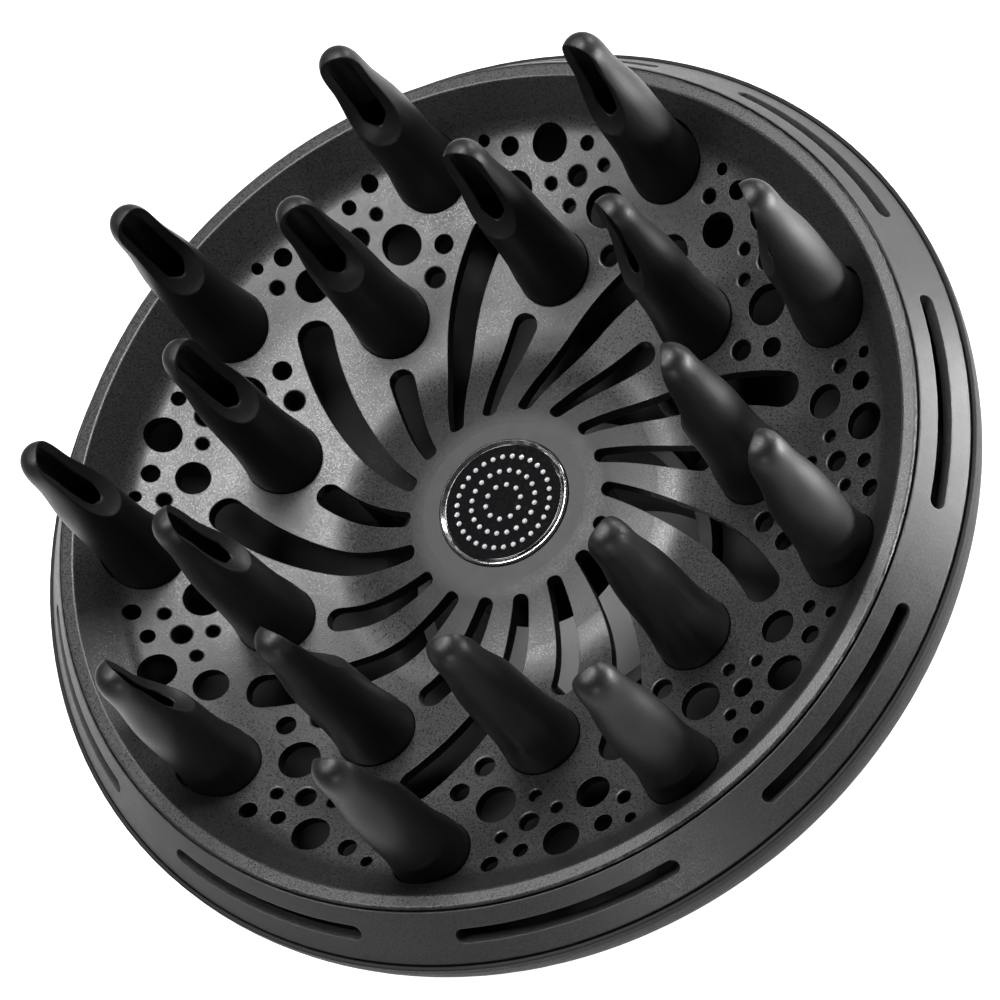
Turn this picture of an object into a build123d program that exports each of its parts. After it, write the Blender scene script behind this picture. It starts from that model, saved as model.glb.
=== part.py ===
from build123d import *
import math
import os

# Hair dryer diffuser. Millimetres, +Z up along the diffuser's axis, fingers up.
# The origin is the centre of the neck's open end, where the dryer nozzle goes in.

# ---- driving dimensions -------------------------------------------------------------
SECTORS = 9                     # the pattern of fingers, slots and holes repeats this often
PITCH = 360 / SECTORS           # degrees from one outer finger to the next
FIRST_OUTER = 90                # degrees, the first outer finger
FIRST_INNER = 68                # degrees, the first inner finger
FIRST_GAP = 110                 # degrees, the middle of the first gap between outer fingers

PLATE_Z = 56                    # height of the front plate's datum above the neck's end
WALL = 2.0                      # wall of the mouldings
SEAM = 0.3                      # open seam between neighbouring mouldings
HAIR_GAP = 0.15                 # slip clearance round a piece that is pushed in by hand

# front plate, seen in section: a hub, a shallow valley, a cone and a steep rim wall
HUB_R, HUB_Z = 15, -0.8
VALLEY_R, VALLEY_Z = 27.7, -4.74
SHOULDER_R, SHOULDER_Z = 50, 0.7
WALL_R, WALL_Z = 62.6, 4.95
WALL_BLEND = 6                  # rounding where the cone turns up into the wall
RIM_IN_R, RIM_OUT_R, RIM_Z = 68, 70.2, 11.3
RIM_THICK = 2.1
BOSS_R, BOSS_BORE_R, BOSS_END_Z = 4.6, 2.2, -14
POST_R, POST_PLACE_R, POST_ANGLE = 2.4, 30, 66.5
POSTS = 3
POST_BORE_R, POST_BORE_LEN = 1.1, 11
EDGE_R = 0.3                    # rounding of every hole and slot edge on the plate's face

# vent ring: a slotted cone round the rim
VENT_TOP_R, VENT_TOP_Z = 70.5, 11.0
VENT_END_R, VENT_END_Z = 75.8, 2.7
VENT_FOOT_Z = 1.2
VENT_LIP_R, VENT_LIP_THICK = 69.6, 1.3
VENT_SLOT_W = 2.7
VENT_SLOT_ARC = 28              # degrees, end to end

# rear shell: a bowl that runs into a round neck
SHELL_R = 76.7
SHELL_LIP_Z, SHELL_LIP_T = 2.3, 0.7
SHELL_LEDGE_R = 73.6
SCREW_BOSS_R = 4.0
SCREW_HEAD_R, SCREW_HEAD_H = 2.4, 1.6
SCREW_R, SCREW_HOLE_R = 1.05, 1.5
SCREW_LEN = 13
SCREW_SEAT_Z = 30               # the shell screws' heads bear up against this height
POST_END_Z = 34                 # the plate's posts stand on the shell's bosses here
NECK_R, NECK_BORE_R = 27.2, 25.2
NECK_TOP_Z = 20

# nozzle collar in the neck
COLLAR_BORE_R = 22.5
COLLAR_MOUTH_LEN = 12
COLLAR_RELIEF_R = 22.9
COLLAR_R = 24.2
COLLAR_BAND_R = 25.05
COLLAR_BAND_LEN = 3.4
COLLAR_LEN = 30
COLLAR_FLANGE_R, COLLAR_FLANGE_T = 27.9, 2.0

# latch tongues in the collar's windows
TONGUES = 3
TONGUE_ARC = 28                 # degrees of the collar that a tongue fills
TONGUE_ROOT_Z, TONGUE_TIP_Z = 12.6, 26.0
TONGUE_FIRST = 30               # degrees, the first tongue
TONGUE_GAP = 0.35
CATCH_H = 0.7                   # how far a catch stands into the relief

# fingers
FINGER_R = 6.0                  # at the plate
FINGER_TIP_R = 2.65             # how blunt the tip is
TIP_FLAT_R = 0.25               # the small flat at the very top
OUTER_FINGER_R, OUTER_FINGER_LEN = 59.0, 39.0
INNER_FINGER_R, INNER_FINGER_LEN = 40.7, 40.0
FINGER_HOLE_R = FINGER_R + HAIR_GAP
FLANGE_R, FLANGE_T = 7.2, 1.3
FINGER_DEPTH = -9               # a finger reaches at most this far below the plate's face
UNDER_FLOOR_Z = -20             # the space taken as lying under the plate ends here
# (distance below the finger's top, radius) down the outside and down the hollow
FINGER_TAPER = [(6.8, 3.5), (15.0, 4.45), (23.0, 4.95), (34.0, 5.5)]
HOLLOW_TAPER = [(3.2, 1.65), (7.0, 1.9), (12.0, 2.1), (16.0, 2.5), (24.0, 3.05), (33.0, 3.55)]
HOLLOW_TOP, HOLLOW_TIP_R, HOLLOW_R = 1.0, 2.4, 3.85
OUTLET_R = 1.9                  # half the width of a finger's air outlet
OUTLET_TOP, OUTLET_END = 0.8, 17.3     # from the finger's top down to the outlet's two ends
OUTLET_BACK = -0.2              # the outlet is cut this far past the finger's axis
SCOOP_R = 8.0                   # the dished face round the outlet, across the finger
# down the middle of that face: (distance below the finger's top, distance from its axis)
SCOOP_FLOOR = [(-1.5, 0.95), (0.3, 0.5), (2.0, 0.2), (4.5, 0.38), (7.0, 0.66), (12.0, 1.03),
               (15.6, 1.8), (17.5, 2.55), (19.0, 3.4), (20.4, 4.8), (21.6, 6.7)]

# badge
BADGE_R = 10.65
BEZEL_W = 0.85
BADGE_TOP_Z = -0.2
BADGE_POCKET = 1.5
STEM_R, STEM_LEN = 2.0, 5.5
INSERT_TOP_Z = -0.5
CRYSTAL_SINK = 0.3
CRYSTAL_R = 0.42
CRYSTAL_RINGS = [(7.7, 30), (5.3, 20), (2.9, 10)]   # (ring radius, crystals on it)

# air deflector
DEFLECTOR_R = 14
DEFLECTOR_EDGE_Z, DEFLECTOR_EDGE_T = -16.5, 1.0
DEFLECTOR_APEX_R, DEFLECTOR_APEX_Z = 3.6, -24

# Holes in one gap between two outer fingers: (distance from the axis, degrees from the
# middle of the gap, hole radius). They fill the gap like a cluster of bubbles.
BUBBLES = [
    (43.5, -14.7, 1.6), (47.9, -18.6, 1.6), (50.6, -11.1, 3.25), (50.4, -4.0, 1.0),
    (56.9, -9.4, 0.95), (55.0, -5.0, 1.55), (53.8, -0.3, 0.95), (53.5, 6.1, 2.75),
    (59.9, 0.1, 2.95), (59.9, -6.1, 1.2), (60.0, 6.6, 1.5), (61.5, -10.6, 1.4),
    (57.2, 10.6, 1.1), (61.5, 10.6, 0.95),
]

ROUND_END = 0.92                # corner rounding of a slot's end, over its half width

# The two swirl slots of one sector: centre line from the inner end through the middle to
# the outer end, as (distance from the axis, degrees), and the half width at each.
LONG_SLOT = [(17.1, 108.0, 1.15), (32.0, 94.8, 2.25), (46.9, 82.4, 2.95)]
SHORT_SLOT = [(16.9, 88.3, 1.15), (24.2, 81.6, 1.7), (31.6, 75.2, 2.15)]


FROM_BELOW = (Align.CENTER, Align.CENTER, Align.MIN)


def polar(radius, degrees):
    angle = math.radians(degrees)
    return (radius * math.cos(angle), radius * math.sin(angle))


def ring(r_in, r_out, z0, z1):
    """A plain tube between two heights."""
    with BuildSketch(Plane.XY.offset(z0)) as sketch:
        Circle(r_out)
        if r_in > 0:
            Circle(r_in, mode=Mode.SUBTRACT)
    return extrude(sketch.sketch, z1 - z0)


def turned(points, rounds=()):
    """A solid turned about the axis from an outline of (radius, height) points.

    rounds lists (radius, height, fillet radius) for the corners that are rounded.
    """
    with BuildSketch(Plane.XZ) as sketch:
        with BuildLine():
            Polyline(points, close=True)
        make_face()
        for r, z, size in rounds:
            corner = sketch.vertices().sort_by_distance(Vector(r, z))[0]
            fillet(corner, size)
    return revolve(sketch.sketch, Axis.Z)


def plate_height(radius):
    """Height of the front plate's upper face at a distance from the axis."""
    stations = [(0, HUB_Z), (HUB_R, HUB_Z), (VALLEY_R, VALLEY_Z),
                (SHOULDER_R, SHOULDER_Z), (WALL_R, WALL_Z), (RIM_IN_R, RIM_Z)]
    for (r0, z0), (r1, z1) in zip(stations, stations[1:]):
        if radius <= r1:
            return PLATE_Z + z0 + (z1 - z0) * (radius - r0) / (r1 - r0)
    return PLATE_Z + RIM_Z


def lifted(points, dz=PLATE_Z):
    return [(r, z + dz) for r, z in points]


# corners of the plate's underside, WALL below its face
UNDER = [(HUB_R - 0.6, HUB_Z - 2.6), (VALLEY_R, VALLEY_Z - 2.1), (SHOULDER_R + 0.3, SHOULDER_Z - 2.05),
         (WALL_R + 1.15, WALL_Z - 1.73), (RIM_IN_R + 0.92, RIM_Z - RIM_THICK)]


def slot_outline(stations):
    """Outline of a swirl slot: two curved sides and two round ends."""
    centres = [Vector(*polar(r, a)) for r, a, w in stations]
    widths = [w for r, a, w in stations]
    first, whole, last = (centres[1] - centres[0], centres[2] - centres[0], centres[2] - centres[1])
    # the centre line turns evenly, so each end leans half a turn beyond its chord
    turn = math.degrees(math.atan2(last.Y, last.X) - math.atan2(first.Y, first.X))
    along = [first.rotate(Axis.Z, -turn / 2).normalized(), whole.normalized(),
             last.rotate(Axis.Z, turn / 2).normalized()]
    tips = [centres[0] - along[0] * widths[0], centres[1], centres[2] + along[2] * widths[2]]
    left = [c + t.rotate(Axis.Z, 90) * w for c, t, w in zip(tips, along, widths)]
    right = [c - t.rotate(Axis.Z, 90) * w for c, t, w in zip(tips, along, widths)]
    with BuildSketch() as sketch:
        with BuildLine():
            ThreePointArc(*left)
            Line(left[2], right[2])
            ThreePointArc(right[2], right[1], right[0])
            Line(right[0], left[0])
        make_face()
        for corner, width in ((left[0], widths[0]), (right[0], widths[0]),
                              (left[2], widths[2]), (right[2], widths[2])):
            fillet(sketch.vertices().sort_by_distance(corner)[0], ROUND_END * width)
    return sketch.sketch


def front_plate():
    """The perforated dish: hub, swirl slots, bubble holes, finger holes and rim."""
    face = [(0, HUB_Z), (HUB_R, HUB_Z), (VALLEY_R, VALLEY_Z), (SHOULDER_R, SHOULDER_Z),
            (WALL_R, WALL_Z), (RIM_IN_R, RIM_Z), (RIM_OUT_R, RIM_Z), (RIM_OUT_R, RIM_Z - RIM_THICK)]
    outline = lifted(face + UNDER[::-1] + [(0, UNDER[0][1])])
    rounds = [(HUB_R, HUB_Z, 10), (VALLEY_R, VALLEY_Z, 13), (SHOULDER_R, SHOULDER_Z, 50),
              (WALL_R, WALL_Z, WALL_BLEND), (RIM_IN_R, RIM_Z, 0.5), (RIM_OUT_R, RIM_Z, 0.4),
              (*UNDER[0], 8), (*UNDER[1], 15), (*UNDER[2], 50), (*UNDER[3], 4)]
    plate = turned(outline, [(r, z + PLATE_Z, size) for r, z, size in rounds])
    low, high = PLATE_Z - 10, PLATE_Z + 14
    with BuildSketch(Plane.XY.offset(low)) as cuts:
        for k in range(SECTORS):
            for stations in (LONG_SLOT, SHORT_SLOT):
                add(slot_outline(stations).rotate(Axis.Z, k * PITCH))
            for r, a, hole_r in BUBBLES:
                with Locations(polar(r, FIRST_GAP + a + k * PITCH)):
                    Circle(hole_r)
            with Locations(polar(OUTER_FINGER_R, FIRST_OUTER + k * PITCH),
                           polar(INNER_FINGER_R, FIRST_INNER + k * PITCH)):
                Circle(FINGER_HOLE_R)
    plate -= extrude(cuts.sketch, high - low)
    plate = fillet(hole_edges(plate), EDGE_R)
    boss = ring(0, BOSS_R, PLATE_Z + BOSS_END_Z, PLATE_Z + HUB_Z - BADGE_POCKET - 0.2)
    plate += boss
    for k in range(POSTS):
        with_post = Pos(*polar(POST_PLACE_R, POST_ANGLE + k * 360 / POSTS), POST_END_Z)
        top = plate_height(POST_PLACE_R) - WALL / 2
        plate += with_post * Cylinder(POST_R, top - POST_END_Z, align=FROM_BELOW)
        plate -= with_post * Cylinder(POST_BORE_R, POST_BORE_LEN, align=FROM_BELOW)
    plate -= ring(0, BADGE_R + HAIR_GAP, PLATE_Z + HUB_Z - BADGE_POCKET, PLATE_Z + 1)
    plate -= ring(0, BOSS_BORE_R, PLATE_Z + BOSS_END_Z - 1, PLATE_Z + 1)
    return plate


def hole_edges(plate):
    """The upper edges of the small round holes; a finger's hole stays sharp round its finger."""
    chosen = []
    for edge in plate.edges():
        middle = edge @ 0.5
        radius = math.hypot(middle.X, middle.Y)
        on_face = middle.Z > plate_height(radius) - WALL / 2
        around_hub = math.hypot(edge.center().X, edge.center().Y) < HUB_R
        for_finger = edge.length > 2 * math.pi * FINGER_R
        if edge.is_closed and on_face and not around_hub and not for_finger:
            chosen.append(edge)
    return chosen


def vent_ring():
    """The slotted cone round the rim, with the lip that the plate's rim rests on."""
    slope = Vector(VENT_END_R - VENT_TOP_R, VENT_END_Z - VENT_TOP_Z).normalized()
    normal = Vector(-slope.Y, slope.X)
    lip_top = RIM_Z - RIM_THICK
    lip_low = lip_top - VENT_LIP_THICK

    def inner_r(z):
        start = Vector(VENT_END_R, VENT_END_Z) - normal * WALL
        return start.X + (z - start.Y) * slope.X / slope.Y

    outline = [(VENT_TOP_R, VENT_TOP_Z), (VENT_END_R, VENT_END_Z), (VENT_END_R, VENT_FOOT_Z),
               (inner_r(VENT_FOOT_Z), VENT_FOOT_Z), (inner_r(lip_low), lip_low),
               (VENT_LIP_R, lip_low), (VENT_LIP_R, lip_top), (VENT_TOP_R, lip_top)]
    cone = turned(lifted(outline), [(VENT_TOP_R, PLATE_Z + VENT_TOP_Z, 0.1),
                                    (VENT_END_R, PLATE_Z + VENT_END_Z, 0.3)])
    middle = Vector(VENT_TOP_R + VENT_END_R, VENT_TOP_Z + VENT_END_Z) / 2
    reach = 2 * WALL
    corners = [middle + slope * (s * VENT_SLOT_W / 2) + normal * (t * reach)
               for s, t in ((-1, -1), (-1, 1), (1, 1), (1, -1))]
    end_turn = math.degrees(VENT_SLOT_W / 2 / middle.X)
    sweep = VENT_SLOT_ARC - 2 * end_turn
    with BuildSketch(Plane.XZ) as sketch:
        with BuildLine():
            Polyline([(c.X, c.Y + PLATE_Z) for c in corners], close=True)
        make_face()
    band = revolve(sketch.sketch, Axis.Z, sweep).rotate(Axis.Z, -sweep / 2)
    if band.center().X < 0:
        band = band.rotate(Axis.Z, 180)
    along = Vector(normal.X, 0, normal.Y)
    centre = Vector(middle.X, 0, middle.Y + PLATE_Z)
    end = Plane(centre, z_dir=along) * Cylinder(VENT_SLOT_W / 2, 2 * reach)
    turn_back = math.degrees(math.atan2(band.center().Y, band.center().X))
    band = band.rotate(Axis.Z, -turn_back)
    slot = band + end.rotate(Axis.Z, sweep / 2) + end.rotate(Axis.Z, -sweep / 2)
    for k in range(SECTORS):
        cone -= slot.rotate(Axis.Z, FIRST_GAP + k * PITCH)
    return cone


def shell_curve(inset):
    """Section of the bowl, from its rim down to the neck, moved in by a wall's thickness."""
    top = PLATE_Z + VENT_FOOT_Z - 0.5
    if inset == 0:
        points = [(SHELL_R, top), (70.5, 45.5), (52, 36.4), (36, 30.8), (NECK_R, NECK_TOP_Z)]
    else:
        points = [(SHELL_LEDGE_R, top), (68.6, 47.2), (51.2, 38.6), (34.6, 32.8),
                  (NECK_BORE_R, NECK_TOP_Z + 1)]
    return points


def bowl_solid(inset, rim):
    """Everything inside the bowl's outer or inner surface, from the neck's end to the rim."""
    points = shell_curve(inset)
    with BuildSketch(Plane.XZ) as sketch:
        with BuildLine():
            Spline(points, tangents=[(-0.1, -1), (-0.06, -1)])
            Polyline(points[-1], (points[-1][0], COLLAR_FLANGE_T), (0, COLLAR_FLANGE_T),
                     (0, rim), (points[0][0], rim), points[0])
        make_face()
    return revolve(sketch.sketch, Axis.Z)


def rear_shell():
    """The bowl and neck, with a rebate for the vent ring and three screw bosses."""
    outer = bowl_solid(0, PLATE_Z + SHELL_LIP_Z)
    inner = bowl_solid(WALL, PLATE_Z + SHELL_LIP_Z + 1)
    shell = outer - inner
    shell -= ring(0, SHELL_R - SHELL_LIP_T, PLATE_Z + VENT_FOOT_Z, PLATE_Z + SHELL_LIP_Z + 1)
    shell = fillet(shell.edges().filter_by(GeomType.CIRCLE).sort_by(Axis.Z)[-2:], 0.25)
    for k in range(POSTS):
        here = Pos(*polar(POST_PLACE_R, POST_ANGLE + k * 360 / POSTS))
        boss = here * Pos(0, 0, NECK_TOP_Z) * Cylinder(SCREW_BOSS_R, POST_END_Z - NECK_TOP_Z, align=FROM_BELOW)
        shell += (boss & outer) - ring(0, NECK_BORE_R, NECK_TOP_Z, POST_END_Z)
        shell -= here * Cylinder(SCREW_HEAD_R + SEAM, SCREW_SEAT_Z, align=FROM_BELOW)
        shell -= here * Cylinder(SCREW_HOLE_R, POST_END_Z + 1, align=FROM_BELOW)
    return shell


def tongue_block(arc, r_in, r_out, z0, z1, place):
    """A piece of tube that fills part of a turn, centred on a direction."""
    with BuildSketch(Plane.XY.offset(z0)) as sketch:
        with BuildLine():
            outer = CenterArc((0, 0), r_out, place - arc / 2, arc)
            inner = CenterArc((0, 0), r_in, place - arc / 2, arc)
            Line(outer @ 0, inner @ 0)
            Line(outer @ 1, inner @ 1)
        make_face()
    return extrude(sketch.sketch, z1 - z0)


def tongue_place(k):
    return TONGUE_FIRST + k * 360 / TONGUES


def nozzle_collar():
    """The socket for the dryer's nozzle, with a window for each latch tongue."""
    collar = ring(COLLAR_BORE_R, COLLAR_R, 0, COLLAR_LEN)
    collar += ring(COLLAR_BORE_R, COLLAR_FLANGE_R, 0, COLLAR_FLANGE_T)
    collar += ring(COLLAR_BORE_R, COLLAR_BAND_R, COLLAR_FLANGE_T, COLLAR_FLANGE_T + COLLAR_BAND_LEN)
    collar += ring(COLLAR_BORE_R, COLLAR_BAND_R, COLLAR_LEN - COLLAR_BAND_LEN, COLLAR_LEN)
    collar -= ring(0, COLLAR_RELIEF_R, COLLAR_MOUTH_LEN, COLLAR_LEN + 1)
    gap_arc = 2 * math.degrees(TONGUE_GAP / COLLAR_R)
    for k in range(TONGUES):
        collar -= tongue_block(TONGUE_ARC + gap_arc, COLLAR_BORE_R - 1, COLLAR_R + 0.5,
                               TONGUE_ROOT_Z - TONGUE_GAP, TONGUE_TIP_Z + TONGUE_GAP, tongue_place(k))
    rims = collar.edges().filter_by(GeomType.CIRCLE).group_by(Axis.Z)
    collar = fillet(rims[0].sort_by(SortBy.LENGTH)[-1:], 0.6)
    return collar


def latch_tongue(k):
    """One springy tongue with the rounded catch that drops into the nozzle's groove."""
    tongue = tongue_block(TONGUE_ARC, COLLAR_RELIEF_R, COLLAR_R, TONGUE_ROOT_Z, TONGUE_TIP_Z, tongue_place(k))
    low, high = TONGUE_TIP_Z - 4.6, TONGUE_TIP_Z - 0.8
    catch_r = COLLAR_RELIEF_R - CATCH_H
    catch = turned([(COLLAR_RELIEF_R + 0.4, low), (COLLAR_RELIEF_R, low), (catch_r, low + 1.6),
                    (catch_r, high - 1.0), (COLLAR_RELIEF_R, high), (COLLAR_RELIEF_R + 0.4, high)])
    wedge = tongue_block(TONGUE_ARC - 6, COLLAR_BORE_R - 2, COLLAR_R, low, high, tongue_place(k))
    return tongue + (catch & wedge)


def finger(radius, angle, length):
    """A hollow tapered finger, pushed up through the plate, its air outlet facing the hub."""
    place = Pos(*polar(radius, angle), plate_height(radius))
    outside = [(0, length)] + [(r, length - d) for d, r in FINGER_TAPER] + [(FINGER_R, 0.6)]
    hollow = [(0, length - HOLLOW_TOP)] + [(r, length - d) for d, r in HOLLOW_TAPER] + [(HOLLOW_R, 0.6)]
    body = place * finger_turn(outside, FINGER_R, FINGER_TIP_R)
    flange = place * Pos(0, 0, FINGER_DEPTH) * Cylinder(FLANGE_R, -FINGER_DEPTH, align=FROM_BELOW)
    body -= plate_under(FLANGE_T + SEAM)
    flange -= plate_under(FLANGE_T + SEAM)
    flange &= plate_under(SEAM / 10)
    cavity = finger_turn(hollow, HOLLOW_R, HOLLOW_TIP_R)
    cuts = Rot(0, 0, angle + 180) * (outlet(length) + scoop(length))
    return body + flange - place * cavity - place * cuts


def finger_turn(points, shank_r, tip_r):
    """A round-ended taper turned from (radius, height) points, with a tiny flat at its top."""
    top = (TIP_FLAT_R, points[0][1])
    with BuildSketch(Plane.XZ) as sketch:
        with BuildLine():
            Spline([top] + points[1:], tangents=[(1, 0), (0, -1)], tangent_scalars=[tip_r / 2, 1])
            Polyline(points[-1], (shank_r, FINGER_DEPTH), (0, FINGER_DEPTH), points[0], top)
        make_face()
    return revolve(sketch.sketch, Axis.Z)


def outlet(length):
    """A long round-ended opening on the +X side of a finger that stands at the origin."""
    top = length - OUTLET_TOP - OUTLET_R
    low = length - OUTLET_END + OUTLET_R
    middle = Plane((OUTLET_BACK, 0, (top + low) / 2), x_dir=(0, 0, 1), z_dir=(1, 0, 0))
    return extrude(middle * SlotCenterToCenter(top - low, 2 * OUTLET_R), FINGER_R - OUTLET_BACK)


def scoop(length):
    """The dish round an outlet: it opens over the tip and runs out on the finger's face."""
    rounds = [Pos(x + SCOOP_R, 0, length - d) * Circle(SCOOP_R) for d, x in SCOOP_FLOOR]
    return loft(rounds)


def plate_under(drop):
    """All the space below the plate's underside, less a clearance."""
    (r2, z2), (r3, z3) = UNDER[2:4]
    edge = (RIM_OUT_R, z3 + (z3 - z2) / (r3 - r2) * (RIM_OUT_R - r3))
    top = [(r, z - drop) for r, z in ((0, UNDER[0][1]), *UNDER[:3], edge)]
    return turned(lifted([(0, UNDER_FLOOR_Z)] + top + [(RIM_OUT_R, UNDER_FLOOR_Z)]))


def badge_bezel():
    """The bright ring of the badge."""
    bezel = ring(BADGE_R - BEZEL_W, BADGE_R, PLATE_Z + HUB_Z - BADGE_POCKET, PLATE_Z + BADGE_TOP_Z)
    top = bezel.edges().group_by(Axis.Z)[-1].sort_by(SortBy.LENGTH)
    bezel = fillet(top[-1:], 0.3)
    inner_top = bezel.edges().group_by(Axis.Z)[-1].sort_by(SortBy.LENGTH)[0]
    return chamfer(inner_top, 0.45)


def crystal_places():
    return [polar(r, i * 360 / count) for r, count in CRYSTAL_RINGS for i in range(count)]


def badge_insert():
    """The black disc of the badge, with a pocket for each crystal and a stem below."""
    low = PLATE_Z + HUB_Z - BADGE_POCKET
    disc = ring(0, BADGE_R - BEZEL_W - 0.05, low, PLATE_Z + INSERT_TOP_Z)
    disc = fillet(disc.edges().group_by(Axis.Z)[-1], 0.25)
    disc += ring(0, STEM_R, low - STEM_LEN, low)
    with BuildSketch(Plane.XY.offset(PLATE_Z + INSERT_TOP_Z - CRYSTAL_SINK)) as pockets:
        with Locations(*crystal_places()):
            Circle(CRYSTAL_R + 0.03)
    return disc - extrude(pockets.sketch, 1)


def badge_crystals():
    """Small cut crystals in plain concentric rings."""
    base = PLATE_Z + INSERT_TOP_Z - CRYSTAL_SINK
    with BuildSketch() as plan:
        RegularPolygon(CRYSTAL_R, 8)
    girdle = extrude(plan.sketch, CRYSTAL_SINK + 0.05)
    crown = extrude(girdle.faces().sort_by(Axis.Z)[-1], 0.22, taper=40)
    gem = girdle + crown
    return Compound(children=[Pos(x, y, base) * gem for x, y in crystal_places()])


def air_deflector():
    """The cap below the hub that turns the air outwards, pierced for its screw."""
    head = SCREW_HEAD_R + SEAM
    seat = DEFLECTOR_APEX_Z + 3.4
    outline = [(SCREW_HOLE_R, BOSS_END_Z), (BOSS_R + 0.6, BOSS_END_Z),
               (DEFLECTOR_R, DEFLECTOR_EDGE_Z), (DEFLECTOR_R, DEFLECTOR_EDGE_Z - DEFLECTOR_EDGE_T),
               (DEFLECTOR_APEX_R, DEFLECTOR_APEX_Z), (head, DEFLECTOR_APEX_Z), (head, seat),
               (SCREW_HOLE_R, seat)]
    rounds = [(DEFLECTOR_R, DEFLECTOR_EDGE_Z, 0.35), (DEFLECTOR_R, DEFLECTOR_EDGE_Z - DEFLECTOR_EDGE_T, 0.4)]
    return turned(lifted(outline), [(r, z + PLATE_Z, size) for r, z, size in rounds])


def screw(seat, length):
    """A pan-head screw that points up, with a cross recess in its head."""
    head = Pos(0, 0, seat - SCREW_HEAD_H) * Cylinder(SCREW_HEAD_R, SCREW_HEAD_H, align=FROM_BELOW)
    head = fillet(head.edges().group_by(Axis.Z)[0], 0.6)
    shank = Pos(0, 0, seat) * Cylinder(SCREW_R, length, align=FROM_BELOW)
    shank = chamfer(shank.edges().group_by(Axis.Z)[-1], 0.5)
    recess = Box(2.6, 0.6, 2 * 0.9) + Box(0.6, 2.6, 2 * 0.9)
    return head + shank - Pos(0, 0, seat - SCREW_HEAD_H) * recess


def shell_screws():
    """The screws that hold the rear shell to the plate's posts."""
    places = [polar(POST_PLACE_R, POST_ANGLE + k * 360 / POSTS) for k in range(POSTS)]
    return Compound(children=[Pos(x, y) * screw(SCREW_SEAT_Z, SCREW_LEN) for x, y in places])


def main():
    os.makedirs("parts", exist_ok=True)
    nodes = {
        "front_plate": front_plate(),
        "vent_ring": vent_ring(),
        "rear_shell": rear_shell(),
        "nozzle_collar": nozzle_collar(),
        "badge_bezel": badge_bezel(),
        "badge_insert": badge_insert(),
        "badge_crystals": badge_crystals(),
        "air_deflector": air_deflector(),
        "deflector_screw": screw(PLATE_Z + DEFLECTOR_APEX_Z + 3.4, 10),
        "shell_screws": shell_screws(),
    }
    for k in range(TONGUES):
        nodes[f"latch_tongue_{k + 1}"] = latch_tongue(k)
    for row, radius, first, length in (("outer", OUTER_FINGER_R, FIRST_OUTER, OUTER_FINGER_LEN),
                                       ("inner", INNER_FINGER_R, FIRST_INNER, INNER_FINGER_LEN)):
        moulding = finger(radius, first, length)
        for k in range(SECTORS):
            nodes[f"finger_{row}_{k + 1}"] = moulding.rotate(Axis.Z, k * PITCH)
    for name, shape in nodes.items():
        export_step(shape, f"parts/{name}.step")


main()
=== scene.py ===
import bpy
import math
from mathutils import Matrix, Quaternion, Vector

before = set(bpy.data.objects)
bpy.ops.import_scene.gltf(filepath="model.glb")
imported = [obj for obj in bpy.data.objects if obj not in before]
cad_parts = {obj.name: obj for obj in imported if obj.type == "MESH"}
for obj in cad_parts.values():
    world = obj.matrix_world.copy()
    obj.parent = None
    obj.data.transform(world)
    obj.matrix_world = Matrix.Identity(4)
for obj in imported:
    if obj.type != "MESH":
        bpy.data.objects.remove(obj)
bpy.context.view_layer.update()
MM = 0.001
BEVEL_SAMPLES = 3
HUB_GLOSS_STEP = (17 * MM, 23 * MM)     # the hub's duller face fades out between these radii

# ---- materials ------------------------------------------------------------------------


def new_material(name):
    """A material with only its Principled shader and output, and the tools to add nodes."""
    mat = bpy.data.materials.new(name)
    mat.use_nodes = True
    tree = mat.node_tree
    shader = next(n for n in tree.nodes if n.type == "BSDF_PRINCIPLED")
    return mat, tree, shader


def add(tree, kind, **values):
    """A node, with the given properties set and the given inputs filled."""
    node = tree.nodes.new(kind)
    for key, value in values.items():
        if hasattr(node, key):
            setattr(node, key, value)
        else:
            node.inputs[key.replace("_", " ")].default_value = value
    return node


def noise(tree, coords, per_mm, detail=3.0, rough=0.55):
    """Noise with that many features per millimetre."""
    node = add(tree, "ShaderNodeTexNoise", Scale=per_mm / MM, Detail=detail, Roughness=rough)
    tree.links.new(coords, node.inputs["Vector"])
    return node.outputs["Fac"]


def remap(tree, value, low, high, to_low, to_high):
    """The value, carried from one range to another and held at its ends."""
    node = add(tree, "ShaderNodeMapRange")
    limits = {"From Min": low, "From Max": high, "To Min": to_low, "To Max": to_high}
    for name, number in limits.items():
        node.inputs[name].default_value = number
    tree.links.new(value, node.inputs["Value"])
    return node.outputs["Result"]


def math_node(tree, operation, a, b):
    """The result of a math operation; a and b are sockets or numbers."""
    node = add(tree, "ShaderNodeMath", operation=operation)
    for slot, value in zip(node.inputs, (a, b)):
        if isinstance(value, (int, float)):
            slot.default_value = value
        else:
            tree.links.new(value, slot)
    return node.outputs[0]


def blend_colours(tree, factor, low, high):
    """From low to high by the factor; each is a colour or a socket."""
    node = add(tree, "ShaderNodeMix", data_type="RGBA")
    sockets = [s for s in node.inputs if s.type == "RGBA"]
    for socket, value in zip(sockets, (low, high)):
        if isinstance(value, tuple):
            socket.default_value = (*value, 1)
        else:
            tree.links.new(value, socket)
    tree.links.new(factor, node.inputs[0])
    return next(s for s in node.outputs if s.type == "RGBA")


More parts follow.
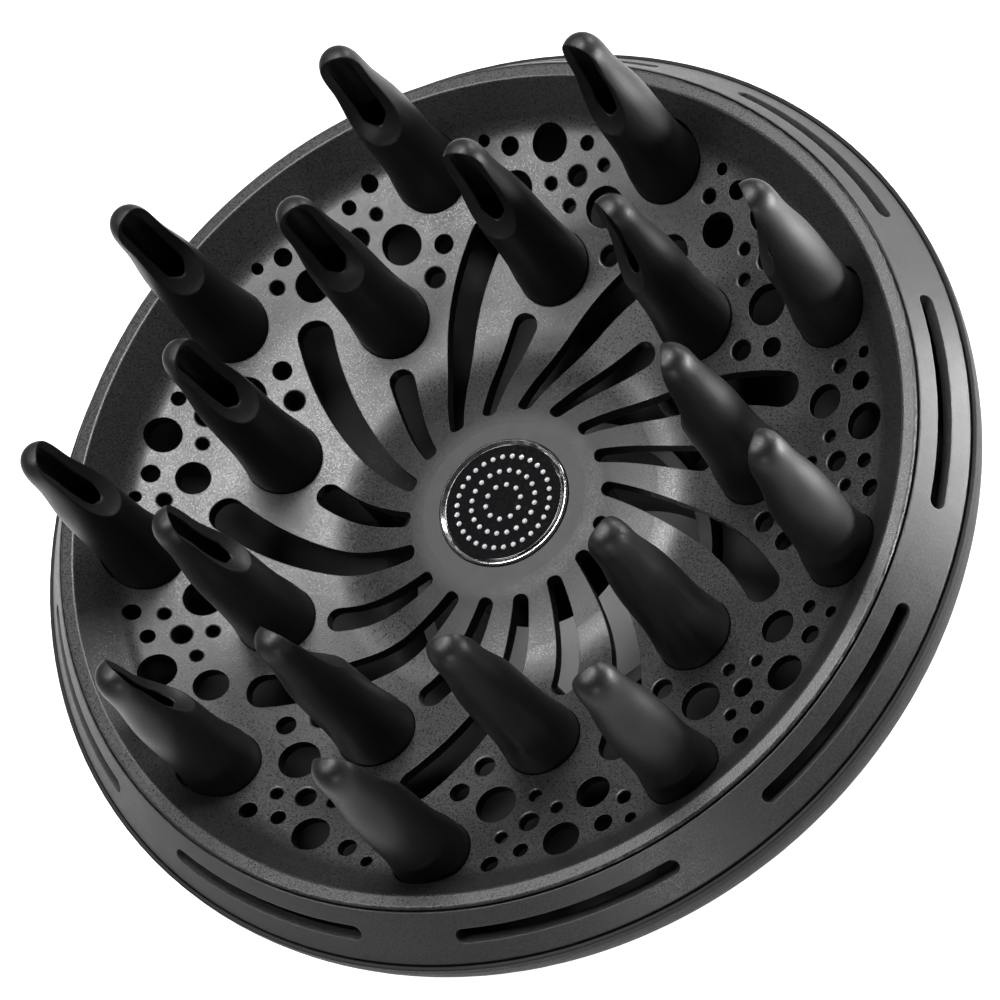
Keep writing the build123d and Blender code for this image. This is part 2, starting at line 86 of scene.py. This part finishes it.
def soft_edges(tree, radius):
    """Normals that run round every edge, and a mask of the edges; radius in millimetres."""
    bevel = add(tree, "ShaderNodeBevel", samples=BEVEL_SAMPLES, Radius=radius * MM)
    alike = add(tree, "ShaderNodeVectorMath", operation="DOT_PRODUCT")
    tree.links.new(bevel.outputs["Normal"], alike.inputs[0])
    tree.links.new(add(tree, "ShaderNodeNewGeometry").outputs["Normal"], alike.inputs[1])
    return bevel.outputs["Normal"], remap(tree, alike.outputs["Value"], 0.99, 0.90, 0.0, 1.0)


def steepness(tree, coords_node, low, high):
    """1 on upright faces, 0 on faces that lie flatter than the given limits."""
    split = add(tree, "ShaderNodeSeparateXYZ")
    tree.links.new(coords_node.outputs["Normal"], split.inputs[0])
    return remap(tree, math_node(tree, "ABSOLUTE", split.outputs["Z"], 0), low, high, 1.0, 0.0)


def moulded_plastic(name, colour, pale, gloss, grain, grain_depth, edge_wear_and_highlight=0.5,
                    specular=0.5, edge=0.22, painted_wall_shade=False, dull_hub=0.0):
    """Black moulded plastic: fine spark-eroded grain, uneven gloss, and paler edges, which are
    partly wear and partly a painted highlight.

    colour and pale are the tones between and on the grains. gloss is (smoothest, roughest).
    grain is in grains per millimetre, its depth and the rounding edge in millimetres.
    The wall shade flag paints shade on the steep faces: the walls of the dish, its slots and holes
    come out darker than the face.
    dull_hub is the roughness added to the hub, inside a radius of about 20 mm round the axis.
    """
    mat, tree, shader = new_material(name)
    coords_node = add(tree, "ShaderNodeTexCoord")
    coords = coords_node.outputs["Object"]
    clouds = noise(tree, coords, 0.05, 4.0)
    grains = noise(tree, coords, grain, 2.0, 0.6)
    smears = noise(tree, coords, 0.35, 5.0, 0.62)
    speckle = remap(tree, grains, 0.36, 0.70, 0.25, 1.0)
    tone = math_node(tree, "MULTIPLY", speckle, remap(tree, clouds, 0.3, 0.7, 0.75, 1.0))
    body = blend_colours(tree, tone, colour, pale)
    normals, edges = soft_edges(tree, edge)
    # paler edges: partly wear, partly a painted highlight along every edge
    patchy = remap(tree, smears, 0.35, 0.6, 0.4 * edge_wear_and_highlight, edge_wear_and_highlight)
    wear_and_highlight_mask = math_node(tree, "MULTIPLY", edges, patchy)
    pale_wear_and_highlight_tone = tuple(min(1.0, 1.6 * c + 0.03) for c in pale)
    body = blend_colours(tree, wear_and_highlight_mask, body, pale_wear_and_highlight_tone)
    uneven = math_node(tree, "ADD", math_node(tree, "MULTIPLY", smears, 0.2),
                       math_node(tree, "MULTIPLY", grains, 0.8))
    rough = remap(tree, uneven, 0.38, 0.62, *gloss)
    # painted shade: steep faces are blended towards near black, darker than the face of the plate
    if painted_wall_shade:
        steep = steepness(tree, coords_node, 0.35, 0.85)
        body = blend_colours(tree, steep, body, (0.005, 0.005, 0.005))
    if dull_hub:
        flat = add(tree, "ShaderNodeVectorMath", operation="MULTIPLY")
        tree.links.new(coords, flat.inputs[0])
        flat.inputs[1].default_value = (1, 1, 0)
        out = add(tree, "ShaderNodeVectorMath", operation="LENGTH")
        tree.links.new(flat.outputs["Vector"], out.inputs[0])
        added = remap(tree, out.outputs["Value"], *HUB_GLOSS_STEP, dull_hub, 0.0)
        rough = math_node(tree, "ADD", rough, added)
    tree.links.new(body, shader.inputs["Base Color"])
    tree.links.new(rough, shader.inputs["Roughness"])
    bump = add(tree, "ShaderNodeBump", Strength=1.0, Distance=grain_depth * MM)
    tree.links.new(grains, bump.inputs["Height"])
    tree.links.new(normals, bump.inputs["Normal"])
    tree.links.new(bump.outputs["Normal"], shader.inputs["Normal"])
    shader.inputs["Specular IOR Level"].default_value = specular
    return mat


MATERIALS = {
    # the plate's steep walls get painted shade
    "plate": moulded_plastic(
        "SatinPlate", (0.005, 0.005, 0.0055), (0.044, 0.044, 0.045), gloss=(0.26, 0.46),
        grain=3.6, grain_depth=0.018, painted_wall_shade=True, dull_hub=0.2),
    # the rim's edges get the strongest pale tone, partly a painted highlight on its slot edges
    "rim": moulded_plastic(
        "SatinRim", (0.006, 0.006, 0.0065), (0.046, 0.046, 0.047), gloss=(0.36, 0.54),
        grain=3.4, grain_depth=0.018, edge_wear_and_highlight=0.8, edge=0.3),
    "shell": moulded_plastic(
        "SatinShell", (0.004, 0.004, 0.0045), (0.014, 0.014, 0.0145), gloss=(0.55, 0.70),
        grain=2.4, grain_depth=0.016, specular=0.25),
    "finger": moulded_plastic(
        "SoftFinger", (0.006, 0.006, 0.0065), (0.013, 0.013, 0.0135), gloss=(0.38, 0.50),
        grain=3.0, grain_depth=0.005, edge_wear_and_highlight=0.2, specular=0.38, edge=0.45),
    "socket": moulded_plastic(
        "SocketNylon", (0.010, 0.010, 0.0105), (0.028, 0.028, 0.029), gloss=(0.42, 0.6),
        grain=2.0, grain_depth=0.012),
}


def gloss_black():
    """Black lacquer with a clear coat and a little dust."""
    mat, tree, shader = new_material("BadgeLacquer")
    coords = add(tree, "ShaderNodeTexCoord").outputs["Object"]
    dust = noise(tree, coords, 1.6, 6.0, 0.7)
    fleck = remap(tree, dust, 0.62, 0.74, 0.0, 1.0)
    body = blend_colours(tree, fleck, (0.004, 0.004, 0.0045), (0.02, 0.02, 0.02))
    tree.links.new(body, shader.inputs["Base Color"])
    tree.links.new(remap(tree, dust, 0.3, 0.75, 0.035, 0.16), shader.inputs["Roughness"])
    shader.inputs["Coat Weight"].default_value = 0.6
    shader.inputs["Coat Roughness"].default_value = 0.03
    return mat


def polished_metal(name, colour, rough):
    """Bright metal with fine scratches; rough is (smoothest, roughest)."""
    mat, tree, shader = new_material(name)
    coords = add(tree, "ShaderNodeTexCoord").outputs["Object"]
    scratch = noise(tree, coords, 3.0, 6.0, 0.75)
    haze = noise(tree, coords, 0.3, 3.0)
    shade = tuple(0.82 * c for c in colour)
    tree.links.new(blend_colours(tree, haze, shade, colour), shader.inputs["Base Color"])
    shader.inputs["Metallic"].default_value = 1.0
    tree.links.new(remap(tree, scratch, 0.35, 0.7, rough[0], rough[1]), shader.inputs["Roughness"])
    bump = add(tree, "ShaderNodeBump", Strength=0.4, Distance=0.002 * MM)
    tree.links.new(scratch, bump.inputs["Height"])
    tree.links.new(bump.outputs["Normal"], shader.inputs["Normal"])
    return mat


def cut_crystal():
    """Foil-backed glass stones: pale and bright, some brighter than others."""
    mat, tree, shader = new_material("CutCrystal")
    coords = add(tree, "ShaderNodeTexCoord").outputs["Object"]
    fire = noise(tree, coords, 1.1, 2.0)
    bright = remap(tree, fire, 0.35, 0.65, 0.0, 1.0)
    tree.links.new(blend_colours(tree, bright, (0.80, 0.82, 0.86), (0.97, 0.97, 0.98)),
                   shader.inputs["Base Color"])
    tree.links.new(remap(tree, fire, 0.3, 0.7, 0.04, 0.14), shader.inputs["Roughness"])
    shader.inputs["Metallic"].default_value = 0.4
    return mat


MATERIALS["lacquer"] = gloss_black()
MATERIALS["chrome"] = polished_metal("BezelChrome", (0.80, 0.79, 0.77), (0.12, 0.20))
MATERIALS["steel"] = polished_metal("ScrewSteel", (0.55, 0.55, 0.56), (0.22, 0.4))
MATERIALS["crystal"] = cut_crystal()

NODE_MATERIALS = {
    # the deflector takes the shell's darker, duller plastic so that it reads dark through the
    # slots; its darker tone is painted shade for its place under the plate
    "front_plate": "plate", "vent_ring": "rim", "rear_shell": "shell",
    "nozzle_collar": "socket", "air_deflector": "shell", "badge_bezel": "chrome",
    "badge_insert": "lacquer", "badge_crystals": "crystal", "deflector_screw": "steel",
    "shell_screws": "steel",
}


def node_material(name):
    """The material of a CAD node, found by its name."""
    if name.startswith("finger_"):
        return MATERIALS["finger"]
    if name.startswith("latch_tongue"):
        return MATERIALS["socket"]
    return MATERIALS[NODE_MATERIALS[name]]


for name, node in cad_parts.items():
    if not node.material_slots:
        node.data.materials.append(None)
    for slot in node.material_slots:
        slot.link = "OBJECT"
        slot.material = node_material(name)

# ---- floor, light, camera -------------------------------------------------------------

CENTRE = Vector((0, 0, 56 * MM))


def direction(azimuth, elevation):
    """A unit vector; azimuth in degrees from +X towards +Y."""
    a, e = math.radians(azimuth), math.radians(elevation)
    return Vector((math.cos(a) * math.cos(e), math.sin(a) * math.cos(e), math.sin(e)))


def softbox(name, azimuth, elevation, distance, width, height, power):
    """An area light that faces the object; lengths in metres, power in watts."""
    data = bpy.data.lights.new(name, "AREA")
    data.shape = "RECTANGLE"
    data.size, data.size_y = width, height
    data.energy = power
    lamp = bpy.data.objects.new(name, data)
    bpy.context.scene.collection.objects.link(lamp)
    way = direction(azimuth, elevation)
    lamp.location = CENTRE + way * distance
    lamp.rotation_mode = "QUATERNION"
    lamp.rotation_quaternion = way.to_track_quat("Z", "Y")


def distance_from(tree, coords, place):
    """How far a point of the floor is from a place (x, y) on it."""
    node = add(tree, "ShaderNodeVectorMath", operation="DISTANCE")
    tree.links.new(coords, node.inputs[0])
    node.inputs[1].default_value = (*place, 0)
    return node.outputs["Value"]


FLOOR_R, FLOOR_CORNERS = 4.0, 96
GLOW_START = (0.030, 0.046)             # the painted glow is off under the neck, which leaves a dark patch that reads as a contact shadow, and starts from here on
# the painted glow fades out between these distances from this point near the object
GLOW_CENTRE, GLOW_END = (-0.05, 0.02), (0.15, 0.19)


def pale_floor():
    """A plain floor with painted light: it glows round the object, which fills the object's shadow
    on it, so that it reads as white behind it.
    """
    mesh = bpy.data.meshes.new("floor")
    corners = [2 * math.pi * i / FLOOR_CORNERS for i in range(FLOOR_CORNERS)]
    points = [(FLOOR_R * math.cos(a), FLOOR_R * math.sin(a), 0) for a in corners]
    mesh.from_pydata(points, [], [list(range(FLOOR_CORNERS))])
    floor = bpy.data.objects.new("floor", mesh)
    bpy.context.scene.collection.objects.link(floor)
    mat, tree, shader = new_material("PaleFloor")
    coords = add(tree, "ShaderNodeTexCoord").outputs["Object"]
    haze = noise(tree, coords, 0.004, 2.0)
    from_neck = distance_from(tree, coords, (0, 0))
    from_middle = distance_from(tree, coords, GLOW_CENTRE)
    # painted light: the glow's strength, off under the neck and fading away from the object
    lit = math_node(tree, "MULTIPLY", remap(tree, from_neck, *GLOW_START, 0.0, 1.0),
                    remap(tree, from_middle, *GLOW_END, 1.0, 0.0))
    pale = blend_colours(tree, haze, (0.50, 0.50, 0.50), (0.54, 0.54, 0.54))
    tree.links.new(pale, shader.inputs["Base Color"])
    shader.inputs["Emission Color"].default_value = (1, 1, 1, 1)
    tree.links.new(lit, shader.inputs["Emission Strength"])
    shader.inputs["Roughness"].default_value = 0.9
    shader.inputs["Specular IOR Level"].default_value = 0.1
    mesh.materials.append(mat)


pale_floor()

# name, azimuth and elevation in degrees, distance, width, height, power
softbox("key", 118, 71, 1.1, 0.46, 0.46, 13.5)
softbox("second", 222, 73, 1.1, 0.3, 0.3, 6)
softbox("rim_right", 80, 12, 1.1, 0.5, 0.5, 7)
softbox("near_rim", -45, 5, 1.1, 0.2, 0.15, 2)
softbox("low_right", 40, -11, 0.2, 0.12, 0.03, 0.45)

SKY_TOP_Z, SKY_LOW, SKY_HIGH = 0.45, 0.48, 0.05     # strength at the horizon and overhead

world = bpy.data.worlds.new("Studio")
bpy.context.scene.world = world
world.use_nodes = True
background = next(n for n in world.node_tree.nodes if n.type == "BACKGROUND")
sky = world.node_tree
up = add(sky, "ShaderNodeSeparateXYZ")
sky.links.new(add(sky, "ShaderNodeTexCoord").outputs["Generated"], up.inputs[0])
fade = remap(sky, up.outputs["Z"], 0.0, SKY_TOP_Z, SKY_LOW, SKY_HIGH)
sky.links.new(fade, background.inputs["Strength"])
background.inputs["Color"].default_value = (0.95, 0.97, 1.0, 1)

CAMERA_AZIMUTH, CAMERA_ELEVATION, CAMERA_ROLL = -22.354, 56.737, -43.187
CAMERA_DISTANCE = 0.7171
CAMERA_AIM = Vector((-0.255, -0.071, 56.137)) * MM
LENS_MM, SENSOR_MM = 167.68, 36

camera_data = bpy.data.cameras.new("camera")
camera_data.lens = LENS_MM
camera_data.sensor_width = SENSOR_MM
camera_data.clip_start, camera_data.clip_end = 0.05, 20
camera = bpy.data.objects.new("camera", camera_data)
bpy.context.scene.collection.objects.link(camera)
back = direction(CAMERA_AZIMUTH, CAMERA_ELEVATION)
roll = Quaternion((0, 0, 1), math.radians(CAMERA_ROLL))
camera.location = CAMERA_AIM + back * CAMERA_DISTANCE
camera.rotation_mode = "QUATERNION"
camera.rotation_quaternion = (-back).to_track_quat("-Z", "Y") @ roll
bpy.context.scene.camera = camera
bpy.context.scene.view_settings.view_transform = "Standard"
